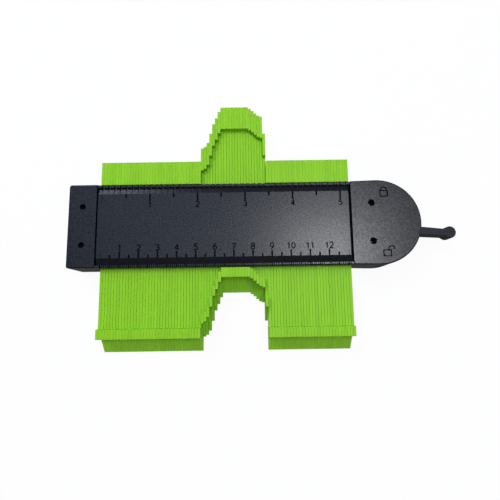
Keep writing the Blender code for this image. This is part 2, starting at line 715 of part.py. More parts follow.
def build_screws(pieces, material):
    """Four self-tapping screws, heads sunk in the rear cover and tips in the front cover."""
    shank = SCREW_DIAMETER / 2
    head = SCREW_HEAD_DIAMETER / 2
    tip = BODY_HEIGHT - FRONT_HOLE_DEPTH
    profile = [
        (0, tip),
        (shank / 3, tip),
        (shank, tip - SCREW_TIP_LENGTH),
        (shank, SCREW_SEAT),
        (head, SCREW_SEAT),
        (head, SCREW_HEAD_SINK),
        (0, SCREW_HEAD_SINK),
    ]
    names = ("square_end_far", "square_end_near", "round_end_far", "round_end_near")
    for name, (x, y, hole) in zip(names, SCREWS):
        turned("screw_" + name, profile, pieces, material).location = (x, y, 0)


def build_pin(pieces, material):
    """The steel pin that the lever turns on, held in a blind socket of each cover."""
    radius = PIN_DIAMETER / 2
    low = WALL + RUNNING_CLEARANCE
    high = BODY_HEIGHT - low
    profile = [
        (0, high),
        (radius - PIN_CHAMFER, high),
        (radius, high - PIN_CHAMFER),
        (radius, low + PIN_CHAMFER),
        (radius - PIN_CHAMFER, low),
        (0, low),
    ]
    turned("pivot_pin", profile, pieces, material).location = (PIVOT_X, 0, 0)


def build_gauge():
    pieces, cutters = clear_scene()
    black = plastic("black_plastic", BLACK_PLASTIC, 0.45)
    green = plastic("green_plastic", GREEN_PLASTIC, 0.40)
    steel = plastic("steel", STEEL, 0.30, 1.0)
    front_cover = CoverHalf("front_cover", 1).build(pieces, cutters, black)
    build_scales(front_cover, cutters)
    CoverHalf("rear_cover", -1).build(pieces, cutters, black)
    build_lamellae(pieces, cutters, green)
    build_lever(pieces, cutters, black)
    build_plate(pieces, cutters, black)
    build_pin(pieces, steel)
    build_screws(pieces, steel)


build_gauge()
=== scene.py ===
"""Finished look of a contour gauge: green lamellae in a black ruled housing with a cam lever.

The packed model is the fixed frame. Each group of its solids is dressed by one operator: the covers,
the lever and the pressure plate are softened copies of the solids, and the lamellae, the screws and
the pin are surfaces worked out from their own sizes. Lengths are in metres. X runs along the housing,
Y along the lamellae and Z out of the ruled face.
"""

import json
from math import pi, radians, tau

import bmesh
import bpy
import numpy as np
from mathutils import Matrix, Vector

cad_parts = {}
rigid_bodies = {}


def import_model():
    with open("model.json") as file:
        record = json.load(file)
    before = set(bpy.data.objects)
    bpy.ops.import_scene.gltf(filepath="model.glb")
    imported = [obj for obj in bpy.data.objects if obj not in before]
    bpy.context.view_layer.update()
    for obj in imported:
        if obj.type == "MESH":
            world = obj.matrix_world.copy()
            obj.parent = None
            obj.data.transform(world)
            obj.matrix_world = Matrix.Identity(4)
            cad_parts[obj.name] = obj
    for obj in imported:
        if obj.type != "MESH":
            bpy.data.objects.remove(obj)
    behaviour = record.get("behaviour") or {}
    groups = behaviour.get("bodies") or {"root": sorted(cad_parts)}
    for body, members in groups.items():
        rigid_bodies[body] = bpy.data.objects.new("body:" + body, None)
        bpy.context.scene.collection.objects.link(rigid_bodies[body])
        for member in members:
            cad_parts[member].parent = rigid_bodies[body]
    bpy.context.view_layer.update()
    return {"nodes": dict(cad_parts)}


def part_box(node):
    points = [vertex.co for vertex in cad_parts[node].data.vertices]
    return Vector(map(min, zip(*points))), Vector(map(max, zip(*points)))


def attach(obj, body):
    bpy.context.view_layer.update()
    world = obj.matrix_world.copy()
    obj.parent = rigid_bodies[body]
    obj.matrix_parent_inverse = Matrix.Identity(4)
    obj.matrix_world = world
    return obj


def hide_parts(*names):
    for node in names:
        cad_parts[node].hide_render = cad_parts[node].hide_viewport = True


bl_info = {
    "name": "Contour Gauge",
    "version": (1, 0, 0),
    "blender": (4, 5, 0),
    "location": "3D View > Sidebar > Gauge",
    "description": "Dresses the solids of a contour gauge with finished surfaces and materials",
    "category": "Object",
}

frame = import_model()
LAMELLA_NODES = sorted(name for name in frame["nodes"] if name.startswith("lamella_"))
SCREW_NODES = sorted(name for name in frame["nodes"] if name.startswith("screw_"))

# Where the forms of the front cover's solid stand. Its round end is a half circle about the pivot
FRONT_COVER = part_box("front_cover")
PANEL_DEPTH = 0.001
SQUARE_BLOCK_LENGTH = 0.01474
STACK_MARGIN = 0.0005
HALF_WIDTH = 0.0224
BAND_INNER_Y = 0.0173
BAND_OUTER_Y = 0.0209
PANEL_LEVEL = FRONT_COVER[1].z - PANEL_DEPTH
PANEL_LEFT = FRONT_COVER[0].x + SQUARE_BLOCK_LENGTH
PANEL_RIGHT = max(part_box(name)[1].x for name in LAMELLA_NODES) + STACK_MARGIN
PIVOT_X = FRONT_COVER[1].x - FRONT_COVER[1].y

# Limits and step counts of the work on meshes
MERGE_DISTANCE = 0.000002
FLAT_ANGLE = radians(1)
ROUNDED_ANGLE = radians(28)
SMOOTH_ANGLE = radians(50)
FLAT_SLOPE = 0.3
SAME_AREA = 0.000000001
LARGE_FACE_WEIGHT = 100
ROUND_PROFILE = 0.5
COVER_STEPS = 1
RIM_STEPS = 4
LEVER_STEPS = 2
LAMELLA_STEPS = 2
HEAD_RINGS = 5
RINGS_PER_TURN = 8
SCREW_SEGMENTS = 24
PIN_SEGMENTS = 48
SHACKLE_POINTS = 13
WELD_POINTS = 3
BOW_STEP = 20
SQUARE = np.array([(-1, -1), (1, -1), (1, 1), (-1, 1)])

# The two scales, and how far the cutters' boxes reach as a multiple of what they cut
INCH = 0.0254
CENTIMETRE = 0.01
MILLIMETRE = 0.001
INCHES = 5
CENTIMETRES = 12
WIDE_NOTCH_EVERY = 5
NOTCH_REACH = 2.05
GROOVE_REACH = 2.01

# Figures as a share of their height, and the open padlock's shackle as a share of the radius
FIGURE_WIDTH = 0.6
FIGURE_GAP = 0.2
FIGURE_STEP = FIGURE_WIDTH + FIGURE_GAP
OPEN_SHACKLE_SHIFT = 0.25
OPEN_SHACKLE_SIZE = 1.1

# The ends of the weld lines, seen from the pivot
WELD_LINES = (
    ("far_weld_line", (-0.0011, 0.0103), (0.0025, 0.0103)),
    ("near_weld_line", (-0.0011, -0.0099), (0.0040, -0.0077)),
)

# Screws: the tip's width as a share of the shank's, and the recess's foot as a share of its mouth
TIP_WIDTH = 0.3
RECESS_TAPER = 0.75

# Noises: features a metre and levels of detail. Most of a noise's values lie in its middle
BLACK_CLOUDS = (55, 3)
GREEN_STREAKS = (420, 2)
GREEN_GLOSS = (180, 2)
GREEN_GRAIN = (1500, 2)
STEEL_CLOUDS = (900, 3)
STEEL_GRAIN = (4000, 2)
FLOOR_CLOUDS = (30, 3)
STREAK_STRETCH = (1, 0.12, 1)
GLOSS_DETAIL = 2
BUMP_DETAIL = 1
NOISE_MIDDLE = (0.3, 0.7)
WHOLE_SPAN = (0.0, 1.0)

# How far noises carry a tone, as factors, a roughness, as differences, and a gloss
BLACK_TONES = (0.88, 1.12)
GREEN_TONES = (0.96, 1.04)
STEEL_TONES = (0.94, 1.03)
FLOOR_TONES = (0.99, 1.01)
BLACK_ROUGHNESS = (-0.01, 0.02)
GREEN_ROUGHNESS = (-0.04, 0.06)
STEEL_ROUGHNESS = (-0.06, 0.08)
COVER_GLOSS = (0.30, 0.70)
LEVER_GLOSS = (0.3, 0.4)

# The share of the gloss that engraving takes away, and the depths of the grains: on black plastic as
# a share of the grain's size, on the others in metres
ENGRAVED_DULLING = 0.95
BLACK_GRAIN_DEPTH = 0.02
GREEN_GRAIN_DEPTH = 0.00001
STEEL_GRAIN_DEPTH = 0.000004

SHADE_SEED = 7
CLIP_START = 0.01
FLOOR_LEVEL = -0.0003
FLOOR_POINTS = 9
FLOOR_ROUGHNESS = 0.9
FLOOR_SPECULAR = 0.1
WALL_FADE = (0.12, 0.3)


def length(name, description, default):
    """A property for a length in metres."""
    return bpy.props.FloatProperty(
        name=name, description=description, default=default, unit="LENGTH", precision=5
    )


def share(name, description, default):
    """A property for a value from 0 to 1."""
    return bpy.props.FloatProperty(
        name=name, description=description, default=default, min=0.0, max=1.0, subtype="FACTOR"
    )


def colour(name, description, default):
    """A property for a linear colour."""
    return bpy.props.FloatVectorProperty(
        name=name, description=description, default=default, size=3, min=0.0, max=1.0, subtype="COLOR"
    )


def place(name, description, default):
    """A property for a point in metres."""
    return bpy.props.FloatVectorProperty(
        name=name, description=description, default=default, size=3, subtype="TRANSLATION"
    )


def power(name, description, default):
    """A property for a lamp's power in watts."""
    return bpy.props.FloatProperty(
        name=name, description=description, default=default, min=0.0, unit="POWER"
    )


class LamellaSettings(bpy.types.PropertyGroup):
    """Sizes and finish of the green lamellae."""

    shank_height: length("Shank height", "Height of the bar between the heads", 0.0094)
    flange_length: length("Flange length", "Length of the full-height part of a head", 0.0052)
    nose_length: length("Nose length", "How far the nose runs out beyond the flange", 0.0074)
    nose_tip_height: length("Nose tip height", "Height of the nose at its tip", 0.001)
    nose_root_height: length("Nose root height", "Height of the nose where it leaves the flange", 0.0076)
    corner: length("Corner", "Softening of the corners of the outline", 0.0002)
    edge_radius: length("Edge radius", "Rounding of the long edges", 0.00016)
    gap: length("Gap", "Gap between one lamella and the next", 0.00002)
    body_colour: colour("Colour", "Colour of the green plastic", (0.262, 0.600, 0.016))
    shade_spread: share("Shade spread", "How much one lamella differs in shade from the next", 0.09)
    roughness: share("Roughness", "Roughness of the green plastic", 0.5)
    specular: share("Specular", "Strength of the green plastic's gloss", 0.25)


class CoverSettings(bpy.types.PropertyGroup):
    """Softening, engraving and finish of the two covers."""

    edge_radius: length("Edge radius", "Rounding of the moulded edges", 0.00009)
    rim_radius: length("Rim radius", "Rounding of the outer edges beside the panel", 0.0006)
    notch_depth: length("Notch depth", "Depth below the panel of the notches in the near rim", 0.00155)
    notch_width: length("Notch width", "Width of the notches at each millimetre", 0.0004)
    wide_notch_width: length("Wide notch width", "Width of every fifth notch", 0.0007)
    rim_width: length("Rim width", "Width of the rim that the notches cut through", 0.0015)
    millimetres: bpy.props.IntProperty(
        name="Millimetres", description="Length of the near scale in millimetres", default=131, min=1
    )
    engraving_depth: length("Engraving depth", "Depth of the marks, numbers and pictograms", 0.001)
    mark_width: length("Mark width", "Width of the long and middle marks on the panel", 0.0009)
    inch_mark: length("Inch mark", "Length of the inch marks on the panel", 0.0042)
    half_inch_mark: length("Half inch mark", "Length of the half inch marks on the panel", 0.0022)
    centimetre_mark: length("Centimetre mark", "Length of the centimetre marks on the panel", 0.0034)
    half_centimetre_mark: length("Half centimetre mark", "Length of the marks between them", 0.0017)
    right_groove: length("Right groove", "Width of the groove at the panel's right end", 0.0012)
    left_groove: length("Left groove", "Width of the groove at the panel's left end", 0.0005)
    groove_depth: length("Groove depth", "Depth of those grooves below the panel", 0.0017)
    figure_stroke: length("Figure stroke", "Width of the figures' lines", 0.0006)
    zero_inset: length("Zero inset", "Distance from the panel's left end to the scales' zero", 0.0027)
    inch_number_height: length("Inch number height", "Height of the inch numbers", 0.0029)
    inch_number_y: length("Inch number place", "Centre of the inch numbers, across the housing", 0.0112)
    centimetre_number_height: length("Centimetre number height", "Height of the centimetre numbers", 0.0031)
    centimetre_number_y: length("Centimetre number place", "Centre of the centimetre numbers", -0.0119)
    stroke: length("Stroke", "Width of the pictograms' lines", 0.0006)
    lock_width: length("Padlock width", "Width of the padlocks' bodies", 0.0039)
    lock_height: length("Padlock height", "Height of the padlocks' bodies", 0.0031)
    shackle_radius: length("Shackle radius", "Radius of the padlocks' shackles", 0.0015)
    shackle_leg: length("Shackle leg", "Length of the straight legs of the shackles", 0.0003)
    shackle_lift: length("Shackle lift", "Height of the shackles' centres over the bodies", 0.0005)
    closed_lock: place("Closed padlock", "Its lower left corner, seen from the pivot", (0.0017, 0.0137, 0))
    open_lock: place("Open padlock", "Its lower left corner, seen from the pivot", (0.0018, -0.0183, 0))
    weld_depth: length("Weld line depth", "Depth of the faint lines beside the round end's holes", 0.00004)
    weld_width: length("Weld line width", "Width of those lines", 0.00014)
    body_colour: colour("Colour", "Colour of the black plastic", (0.0052, 0.0060, 0.0096))
    roughness: share("Roughness", "Roughness of the moulded grain", 0.31)
    grain: length("Grain", "Size of the moulded grain", 0.0007)


class LeverSettings(bpy.types.PropertyGroup):
    """Softening and finish of the lever and the pressure plate."""

    edge_radius: length("Edge radius", "Rounding of the bevels' edges", 0.00012)
    body_colour: colour("Colour", "Colour of the lever's plastic", (0.009, 0.010, 0.017))
    roughness: share("Roughness", "Roughness of the satin plastic", 0.45)
    grain: length("Grain", "Size of the moulded grain", 0.0009)


class SteelSettings(bpy.types.PropertyGroup):
    """Sizes and finish of the screws and the pin."""

    head_height: length("Head height", "Height of the screw heads", 0.0012)
    head_round: length("Head rounding", "Rounding of the screw heads' rims", 0.0004)
    shank_radius: length("Shank radius", "Radius over the crests of the thread", 0.0011)
    thread_pitch: length("Thread pitch", "Distance between the turns of the thread", 0.0008)
    thread_depth: length("Thread depth", "Depth of the thread", 0.0003)
    tip_length: length("Tip length", "Length of the tapered tip", 0.0012)
    recess_width: length("Recess width", "Width of the arms of the cross recess", 0.0005)
    recess_span: length("Recess span", "Span of the cross recess", 0.0026)
    recess_depth: length("Recess depth", "Depth of the cross recess", 0.0008)
    pin_chamfer: length("Pin chamfer", "Chamfer at the ends of the pin", 0.0005)
    body_colour: colour("Colour", "Colour of the plated steel", (0.17, 0.17, 0.18))
    roughness: share("Roughness", "Roughness of the plated steel", 0.45)


class StageSettings(bpy.types.PropertyGroup):
    """Camera, floor and lamps."""

    camera_place: place("Camera", "Where the camera stands", (0.002305, -0.04631, 0.2298))
    camera_turn: bpy.props.FloatVectorProperty(
        name="Camera turn", description="How the camera is turned", default=(0.152, 0.001, -0.015),
        size=3, subtype="EULER",
    )
    lens: bpy.props.FloatProperty(
        name="Lens", description="Focal length on a 36 mm sensor", default=29.33, unit="CAMERA"
    )
    floor_size: length("Floor size", "Length of each side of the floor", 6.0)
    floor_colour: colour("Floor colour", "Colour of the floor", (0.93, 0.93, 0.93))
    floor_glow: share("Floor glow", "How far the floor's shadows fade to white", 0.94)
    floor_gloss: share("Floor in gloss", "Brightness of the floor where it is mirrored", 0.12)
    sky_light: share("Sky light", "Strength of the even light from all round", 0.31)
    ceiling: share("Ceiling", "Strength of the ceiling where it is mirrored", 0.07)
    key_place: place("Key lamp", "Where the lamp behind on the left stands", (-0.45, 0.5, 1.0))
    key_power: power("Key power", "Power of the lamp behind on the left", 4.0)
    key_size: length("Key size", "Side of the lamp behind on the left", 0.35)
    top_place: place("Top lamp", "Where the wide lamp overhead stands", (-0.05, 0.22, 1.0))
    top_power: power("Top power", "Power of the wide lamp overhead", 3.2)
    top_size: length("Top size", "Side of the wide lamp overhead", 1.05)
    top_colour: colour("Top colour", "Colour of the wide lamp overhead", (0.62, 0.74, 1.0))
    sheen_place: place("Sheen lamp", "Where the lamp over the round end stands", (0.24, 0.10, 1.0))
    sheen_power: power("Sheen power", "Power of the lamp over the round end", 2.5)
    sheen_size: length("Sheen size", "Side of the lamp over the round end", 0.15)
    edge_place: place("Edge lamp", "Where the low lamp behind on the left stands", (-0.53, 1.0, 0.74))
    edge_power: power("Edge power", "Power of the low lamp behind on the left", 2.2)
    edge_colour: colour("Edge colour", "Colour of the low lamp behind on the left", (0.7, 0.8, 1.0))
    edge_size: length("Edge size", "Side of the low lamp behind on the left", 0.35)


def make_mesh(name, points, faces):
    """A mesh of an (n, 3) array of points and a list of (m, k) arrays of point numbers."""
    mesh = bpy.data.meshes.new(name)
    corners = np.concatenate([block.ravel() for block in faces]).astype(np.int32)
    sizes = np.concatenate([np.full(len(block), block.shape[1]) for block in faces])
    starts = np.concatenate(([0], np.cumsum(sizes)[:-1])).astype(np.int32)
    mesh.vertices.add(len(points))
    mesh.vertices.foreach_set("co", np.asarray(points, np.float32).ravel())
    mesh.loops.add(len(corners))
    mesh.loops.foreach_set("vertex_index", corners)
    mesh.polygons.add(len(sizes))
    mesh.polygons.foreach_set("loop_start", starts)
    mesh.update(calc_edges=True)
    mesh.validate()
    return mesh


def stacked_faces(rings, count):
    """Faces over rings of points, each ring closed: quads between the rings and a cap at each end."""
    ring, step = np.meshgrid(np.arange(rings - 1), np.arange(count), indexing="ij")
    here = ring * count + step
    beside = ring * count + (step + 1) % count
    quads = np.stack((here, beside, beside + count, here + count), axis=-1).reshape(-1, 4)
    first = np.arange(count)[::-1].reshape(1, count)
    last = np.arange((rings - 1) * count, rings * count).reshape(1, count)
    return [quads, first, last]


def equal_boxes(name, x, y, z, size):
    """One mesh of equal boxes about the points (x, y, z), where x may be a row of numbers."""
    centres = np.column_stack(np.broadcast_arrays(np.atleast_1d(x), y, z))
    corners = np.concatenate([np.column_stack((SQUARE, np.full(len(SQUARE), end))) for end in (-1, 1)])
    points = centres[:, None] + corners * np.asarray(size) / 2
    shift = len(corners) * np.arange(len(centres))[:, None, None]
    faces = [(block + shift).reshape(-1, block.shape[1]) for block in stacked_faces(2, len(SQUARE))]
    return make_mesh(name, points.reshape(-1, 3), faces)


def softened(outline, cut):
    """An outline whose every corner p becomes two points, each at distance cut from p along an edge."""
    before = np.roll(outline, 1, axis=0) - outline
    after = np.roll(outline, -1, axis=0) - outline
    before *= cut / np.linalg.norm(before, axis=1, keepdims=True)
    after *= cut / np.linalg.norm(after, axis=1, keepdims=True)
    return np.stack((outline + before, outline + after), axis=1).reshape(-1, 2)


def drawn_in(outline, distance):
    """An anticlockwise outline moved inwards: p - d (n1 + n2) / (1 + n1.n2), n the edges' normals."""
    edge = np.roll(outline, -1, axis=0) - outline
    edge /= np.linalg.norm(edge, axis=1, keepdims=True)
    after = np.stack((edge[:, 1], -edge[:, 0]), axis=1)
    before = np.roll(after, 1, axis=0)
    lean = 1 + np.sum(before * after, axis=1, keepdims=True)
    return outline - distance * (before + after) / lean


def rounded_slab(outline, half, radius, steps):
    """Rings of points of an outline carried from -half to half, its rims rounded.

    At an angle a round the rim the outline is drawn in by r (1 - sin a) and stands r (1 - cos a)
    inside the end face, with a from 0 to a quarter turn.
    """
    turn = np.linspace(0, pi / 2, steps + 1)
    inset = radius * (1 - np.sin(turn))
    height = half - radius * (1 - np.cos(turn))
    insets = np.concatenate((inset, inset[::-1]))
    heights = np.concatenate((-height, height[::-1]))
    rings = [
        np.column_stack((drawn_in(outline, d), np.full(len(outline), z))) for d, z in zip(insets, heights)
    ]
    return np.concatenate(rings), stacked_faces(len(rings), len(outline))


def turned_rings(radii, heights, segments):
    """Rings about Z: the point at angle t of ring i is (r cos t, r sin t, z), r may differ with t."""
    angle = np.linspace(0, tau, segments, endpoint=False)
    radii = np.broadcast_to(np.asarray(radii).reshape(len(heights), -1), (len(heights), segments))
    x = radii * np.cos(angle)
    y = radii * np.sin(angle)
    z = np.broadcast_to(np.reshape(heights, (-1, 1)), x.shape)
    return np.stack((x, y, z), axis=-1).reshape(-1, 3), stacked_faces(len(heights), segments)


def placed(name, data):
    """A new object, placed in the scene."""
    item = bpy.data.objects.new(name, data)
    bpy.context.scene.collection.objects.link(item)
    return item


def as_shown(item):
    """The mesh that an object shows once its modifiers, or its fill and extrusion, are worked out."""
    bpy.context.view_layer.update()
    return bpy.data.meshes.new_from_object(item.evaluated_get(bpy.context.evaluated_depsgraph_get()))


def show(mesh, name, body, material, nodes, flat_tops=False):
    """Put a finished mesh on its body, in place of its solids, smooth between its sharp edges.

    With flat tops, only the walls are smooth, those whose normal has a small share of Z. Otherwise
    the flat faces lend their normals to the rounded edges beside them.
    """
    piece = placed(name, mesh)
    mesh.materials.clear()
    mesh.materials.append(material)
    mesh.shade_smooth()
    mesh.set_sharp_from_angle(angle=SMOOTH_ANGLE)
    if flat_tops:
        normals = np.array([face.normal for face in mesh.polygons])
        mesh.polygons.foreach_set("use_smooth", np.abs(normals[:, 2]) < FLAT_SLOPE)
    else:
        weighted = piece.modifiers.new("flat_faces", "WEIGHTED_NORMAL")
        weighted.keep_sharp = True
        weighted.weight = LARGE_FACE_WEIGHT
        weighted.thresh = SAME_AREA
    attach(piece, body)
    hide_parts(*nodes)


def is_panel_rim(edge):
    """Whether an edge is the outer edge of the cover beside its sunk panel."""
    return all(
        abs(corner.co.z - PANEL_LEVEL) < MERGE_DISTANCE
        and abs(abs(corner.co.y) - HALF_WIDTH) < MERGE_DISTANCE
        for corner in edge.verts
    )


def softened_copy(node, radius, steps, rim_radius=0.0):
    """A merged copy of a solid, its flat faces made whole and its edges rounded by bevelling.

    With a rim radius, the outer edges beside the sunk panel are rounded first, by that much.
    """
    faces = bmesh.new()
    faces.from_mesh(frame["nodes"][node].data)
    bmesh.ops.remove_doubles(faces, verts=faces.verts, dist=MERGE_DISTANCE)
    bmesh.ops.dissolve_limit(faces, angle_limit=FLAT_ANGLE, verts=faces.verts, edges=faces.edges)
    if rim_radius:
        rim = [edge for edge in faces.edges if is_panel_rim(edge)]
        bmesh.ops.bevel(
            faces, geom=rim, offset=rim_radius, segments=RIM_STEPS, profile=ROUND_PROFILE, affect="EDGES"
        )
    sharp = [edge for edge in faces.edges if edge.calc_face_angle() > ROUNDED_ANGLE]
    bmesh.ops.bevel(
        faces, geom=sharp, offset=radius, segments=steps, profile=ROUND_PROFILE, affect="EDGES",
        clamp_overlap=True,
    )
    mesh = bpy.data.meshes.new(node)
    faces.to_mesh(mesh)
    faces.free()
    return mesh


def cut_away(mesh, cutters):
    """The mesh with closed cutter meshes taken out of it, the cut faces marked as engraved."""
    kept_face = bpy.data.materials.new("kept_face")
    cut_face = bpy.data.materials.new("cut_face")
    mesh.materials.append(kept_face)
    for cutter in cutters:
        cutter.materials.append(cut_face)
    target = placed(mesh.name, mesh)
    group = bpy.data.collections.new(mesh.name + "_cutters")
    bpy.context.scene.collection.children.link(group)
    for cutter in cutters:
        group.objects.link(bpy.data.objects.new(cutter.name, cutter))
    modifier = target.modifiers.new("cut", "BOOLEAN")
    modifier.operation = "DIFFERENCE"
    modifier.operand_type = "COLLECTION"
    modifier.collection = group
    modifier.solver = "EXACT"
    modifier.material_mode = "TRANSFER"
    result = as_shown(target)
    for item in [target, *group.objects]:
        bpy.data.objects.remove(item)
    bpy.data.collections.remove(group)
    is_cut = [material == cut_face for material in result.materials]
    engraved = np.array([is_cut[face.material_index] for face in result.polygons], float)
    result.attributes.new("engraved", "FLOAT", "FACE").data.foreach_set("value", engraved)
    result.polygons.foreach_set("material_index", np.zeros(len(engraved), np.int32))
    result.materials.clear()
    bpy.data.materials.remove(kept_face)
    bpy.data.materials.remove(cut_face)
    return result


def solid_from_curve(curve):
    """The closed mesh of a filled and extruded curve, its caps welded to its sides."""
    drawn = placed(curve.name, curve)
    mesh = as_shown(drawn)
    bpy.data.objects.remove(drawn)
    faces = bmesh.new()
    faces.from_mesh(mesh)
    bmesh.ops.remove_doubles(faces, verts=faces.verts, dist=MERGE_DISTANCE)
    bmesh.ops.recalc_face_normals(faces, faces=faces.faces)
    faces.to_mesh(mesh)
    faces.free()
    return mesh


def line_cutter(name, path, width, z, depth):
    """A line of even width along a path, as a solid that reaches depth below z.

    A path whose last point is its first is a loop, drawn anticlockwise.
    """
    path = np.asarray(path, float)
    if np.allclose(path[0], path[-1]):
        loops = [drawn_in(path[:-1], -width / 2), drawn_in(path[:-1], width / 2)]
    else:
        run = np.gradient(path, axis=0)
        run /= np.linalg.norm(run, axis=1, keepdims=True)
        side = np.stack((run[:, 1], -run[:, 0]), axis=1) * width / 2
        loops = [np.concatenate((path + side, (path - side)[::-1]))]
    curve = bpy.data.curves.new(name, "CURVE")
    curve.dimensions = "2D"
    curve.fill_mode = "BOTH"
    curve.extrude = depth
    for loop in loops:
        spline = curve.splines.new("POLY")
        spline.points.add(len(loop) - 1)
        points = np.column_stack((loop, np.zeros(len(loop)), np.ones(len(loop))))
        spline.points.foreach_set("co", points.ravel())
        spline.use_cyclic_u = True
    mesh = solid_from_curve(curve)
    mesh.transform(Matrix.Translation((0, 0, z)))
    return mesh


def bow(x, y, across, up, start=0.0, end=360.0):
    """Points on an arc of an ellipse: (x + across cos a, y + up sin a), a in degrees."""
    angle = np.radians(np.linspace(start, end, int(abs(end - start) / BOW_STEP) + 2))
    return np.column_stack((x + across * np.cos(angle), y + up * np.sin(angle)))


def figure_strokes(figure):
    """The strokes of one figure, each a path in a box 0.6 wide and 1 high. A 9 is a turned 6."""
    if figure == "9":
        return [(FIGURE_WIDTH, 1.0) - stroke for stroke in figure_strokes("6")]
    strokes = {
        "0": [bow(0.3, 0.5, 0.28, 0.5)],
        "1": [[(0.36, 0.0), (0.36, 1.0)], [(0.36, 0.98), (0.12, 0.76)]],
        "2": [bow(0.3, 0.7, 0.28, 0.3, 165, -40), [(0.54, 0.54), (0.02, 0.0)], [(0.0, 0.0), (0.62, 0.0)]],
        "3": [bow(0.28, 0.75, 0.25, 0.25, 150, -90), bow(0.28, 0.26, 0.3, 0.26, 95, -150)],
        "4": [[(0.46, 0.0), (0.46, 1.0)], [(0.46, 1.0), (0.0, 0.3)], [(0.0, 0.3), (0.64, 0.3)]],
        "5": [[(0.58, 1.0), (0.1, 1.0)], [(0.12, 1.0), (0.07, 0.52)], bow(0.28, 0.32, 0.3, 0.32, 130, -150)],
        "6": [bow(0.3, 0.3, 0.28, 0.3), bow(0.62, 0.3, 0.6, 0.7, 180, 100)],
        "7": [[(0.0, 1.0), (0.6, 1.0)], [(0.58, 1.0), (0.2, 0.0)]],
        "8": [bow(0.3, 0.76, 0.23, 0.24), bow(0.3, 0.27, 0.29, 0.27)],
    }
    return [np.asarray(stroke) for stroke in strokes[figure]]


def number_cutters(text, height, x, y, stroke, z, depth):
    """A number as solids that reach depth below z, its figures that high and centred on (x, y)."""
    left = x - height * (FIGURE_STEP * len(text) - FIGURE_GAP) / 2
    cutters = []
    for place_in_number, figure in enumerate(text):
        corner = (left + FIGURE_STEP * height * place_in_number, y - height / 2)
        for path in figure_strokes(figure):
            cutters.append(line_cutter("figure_" + figure, path * height + corner, stroke, z, depth))
    return cutters


def shackle(x, y, radius, leg):
    """The path of a padlock's shackle: half a circle about (x, y), with a leg down from its left end."""
    angle = np.linspace(pi, 0, SHACKLE_POINTS)
    arc = np.column_stack((x + radius * np.cos(angle), y + radius * np.sin(angle)))
    return np.concatenate((arc[:1] - (0, leg), arc))


def padlock_cutters(cover, left, bottom, opened, z):
    """The pictogram of a padlock: a framed body with its shackle closed, or swung open to the right."""
    right = left + cover.lock_width
    top = bottom + cover.lock_height
    body = [(left, bottom), (right, bottom), (right, top), (left, top), (left, bottom)]
    if opened:
        centre = right + OPEN_SHACKLE_SHIFT * cover.shackle_radius
        radius = OPEN_SHACKLE_SIZE * cover.shackle_radius
    else:
        centre = (left + right) / 2
        radius = cover.shackle_radius
    path = shackle(centre, top + cover.shackle_lift, radius, cover.shackle_leg)
    if not opened:
        path = np.concatenate((path, path[-1:] - (0, cover.shackle_leg + cover.shackle_lift)))
    return [
        line_cutter("padlock_body", body, cover.stroke, z, cover.engraving_depth),
        line_cutter("padlock_shackle", path, cover.stroke, z, cover.engraving_depth),
    ]


def new_material(name):
    """An empty node material with its shader, as (material, nodes, links, shader)."""
    material = bpy.data.materials.new(name)
    material.use_nodes = True
    nodes = material.node_tree.nodes
    return material, nodes, material.node_tree.links, nodes["Principled BSDF"]


def noise(nodes, links, scale, detail, stretch=(1, 1, 1)):
    """A noise over object coordinates. Its features are about 1 / scale metres long."""
    coordinates = nodes.new("ShaderNodeTexCoord")
    mapping = nodes.new("ShaderNodeMapping")
    mapping.inputs["Scale"].default_value = stretch
    texture = nodes.new("ShaderNodeTexNoise")
    texture.inputs["Scale"].default_value = scale
    texture.inputs["Detail"].default_value = detail
    links.new(coordinates.outputs["Object"], mapping.inputs["Vector"])
    links.new(mapping.outputs["Vector"], texture.inputs["Vector"])
    return texture.outputs["Fac"]


def feed(links, value, socket):
    """Set a socket to a number, or link another node's output to it."""
    if isinstance(value, (int, float)):
        socket.default_value = value
    else:
        links.new(value, socket)


def reckoned(nodes, links, operation, *values):
    """The result of an operation on values, each a number or another node's output."""
    node = nodes.new("ShaderNodeMath")
    node.operation = operation
    for value, socket in zip(values, node.inputs):
        feed(links, value, socket)
    return node.outputs["Value"]


def ranged(nodes, links, source, low, high, span=NOISE_MIDDLE):
    """A value that runs from low to high as its source runs over a span."""
    node = nodes.new("ShaderNodeMapRange")
    links.new(source, node.inputs["Value"])
    for name, value in zip(("From Min", "From Max", "To Min", "To Max"), (*span, low, high)):
        feed(links, value, node.inputs[name])
    return node.outputs["Result"]


def attribute(nodes, name):
    """The value that a mesh carries under a name."""
    node = nodes.new("ShaderNodeAttribute")
    node.attribute_name = name
    return node.outputs["Fac"]


def shaded(nodes, links, tone, factor, shader):
    """Give the shader a colour multiplied by a factor that varies over the surface."""
    node = nodes.new("ShaderNodeVectorMath")
    node.operation = "SCALE"
    node.inputs[0].default_value = tone
    links.new(factor, node.inputs["Scale"])
    links.new(node.outputs["Vector"], shader.inputs["Base Color"])


def roughened(nodes, links, source, roughness, spread, shader):
    """Let a noise carry the shader's roughness from one difference to the other of the spread."""
    below, above = spread
    rough = ranged(nodes, links, source, roughness + below, roughness + above)
    links.new(rough, shader.inputs["Roughness"])


def bumped(nodes, links, height, depth, shader):
    """Let a height, times depth in metres, tilt the shader's normal."""
    node = nodes.new("ShaderNodeBump")
    node.inputs["Distance"].default_value = depth
    links.new(height, node.inputs["Height"])
    links.new(node.outputs["Normal"], shader.inputs["Normal"])


